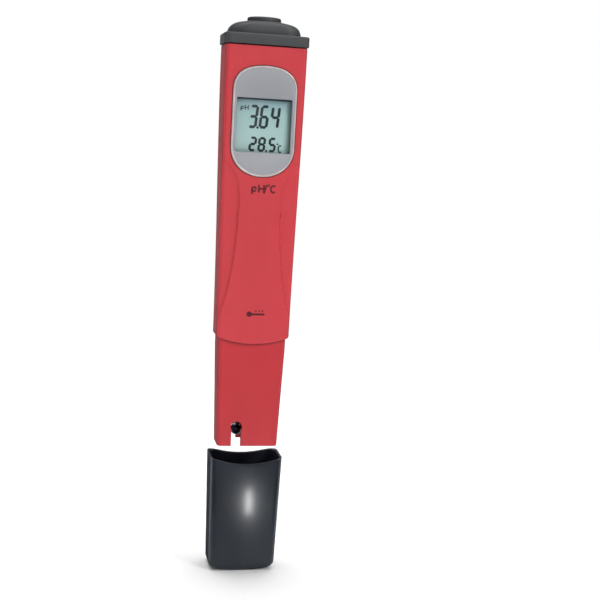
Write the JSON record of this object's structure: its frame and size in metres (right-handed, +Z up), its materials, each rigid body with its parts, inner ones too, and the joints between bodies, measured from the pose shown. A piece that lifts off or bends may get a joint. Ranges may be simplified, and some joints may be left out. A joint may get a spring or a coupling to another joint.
{
  "type": "ph test pen",
  "caption": "Pocket pH tester: tapered flat pen with display, push button on the battery cap, slotted guard round a glass electrode, and a slide-on sensor cap.",
  "frame": {"origin": "middle of the sensor cap's flat closed end, with the cap drawn off and waiting in line below the tip", "axes": "+Z up along the pen from cap to button, the display faces -Y, +X to the right when the display is read"},
  "size_m": [0.0366, 0.0258, 0.2455],
  "materials": {
    "case_red": "moulded ABS, satin sheen with fine moulding texture",
    "guard_red": "moulded ABS, satin sheen, slightly darker than the case",
    "cap_grey": "fine spark-eroded matte texture",
    "cover_black": "polished black moulding",
    "panel_silver": "fine silver-grey paint with a bright edge",
    "window_clear": "clear acrylic",
    "lcd_glass": "reflective liquid-crystal cell, pale green-blue",
    "holder_white": "natural nylon",
    "rubber_dark": "soft black rubber",
    "board_green": "solder-masked glass-epoxy board",
    "chip_black": "moulded epoxy",
    "steel": "plain stainless steel",
    "nickel": "bright nickel plate",
    "brass": "plain brass",
    "glass": "laboratory glass",
    "silver_wire": "chlorided silver, dull grey",
    "porous_white": "porous ceramic",
    "blue_plastic": "moulded nylon",
    "sponge": "open-cell foam",
    "lead_red": "insulated lead",
    "lead_black": "insulated lead",
    "lead_white": "insulated lead"
  },
  "bodies": {
    "meter": {"front_shell": "case_red", "rear_shell": "case_red", "shell_screw_1": "steel", "shell_screw_2": "steel", "shell_screw_3": "steel", "shell_screw_4": "steel", "display_bezel": "panel_silver", "display_window": "window_clear", "lcd_module": "lcd_glass", "lcd_holder": "holder_white", "zebra_strip_lower": "rubber_dark", "zebra_strip_upper": "rubber_dark", "main_circuit_board": "board_green", "microcontroller_chip": "chip_black", "input_amplifier_chip": "chip_black", "timing_crystal": "nickel", "trimmer_body": "blue_plastic", "switch_body": "chip_black", "battery_holder": "holder_white", "cell_spring_left": "nickel", "cell_spring_right": "nickel", "button_cell_1": "nickel", "button_cell_2": "nickel", "button_cell_3": "nickel", "button_cell_4": "nickel", "probe_guard": "guard_red", "guard_seal": "rubber_dark", "probe_bulkhead": "chip_black", "chamber_plug": "rubber_dark", "glass_bulb": "glass", "electrode_stem": "glass", "inner_electrode_wire": "silver_wire", "reference_wire": "silver_wire", "reference_junction": "porous_white", "temperature_sensor": "steel", "signal_lead": "lead_red", "reference_lead": "lead_black", "thermistor_lead": "lead_white"},
    "battery_cap": {"battery_cap": "cap_grey", "battery_cap_seal": "rubber_dark", "cell_bridge_plate": "nickel", "button_retainer": "cap_grey", "button_return_spring": "steel"},
    "power_button": {"power_button": "cap_grey"},
    "switch_plunger": {"switch_plunger": "holder_white"},
    "trimmer_rotor": {"trimmer_rotor": "brass"},
    "sensor_cap": {"sensor_cap": "cover_black", "storage_sponge": "sponge"}
  },
  "joints": [
    {"name": "sensor_cap_slide", "type": "slide", "parent": "meter", "child": "sensor_cap", "axis": [0, 0, 1], "range_m": [0, 0.0541]},
    {"name": "battery_cap_slide", "type": "slide", "parent": "meter", "child": "battery_cap", "axis": [0, 0, 1], "range_m": [0, 0.03]},
    {"name": "power_button_press", "type": "slide", "parent": "battery_cap", "child": "power_button", "axis": [0, 0, -1], "range_m": [0, 0.0015], "stiffness_N_per_m": 400, "deforming": ["button_return_spring"]},
    {"name": "switch_plunger_press", "type": "slide", "parent": "meter", "child": "switch_plunger", "axis": [0, 0, -1], "range_m": [0, 0.0018]},
    {"name": "trimmer_turn", "type": "hinge", "parent": "meter", "child": "trimmer_rotor", "pos_m": [0, 0, 0.1575], "axis": [0, 1, 0], "range_deg": [-135, 135]}
  ],
  "couplings": [
    {"joint": "switch_plunger_press", "follows": "power_button_press", "ratio": 1}
  ]
}
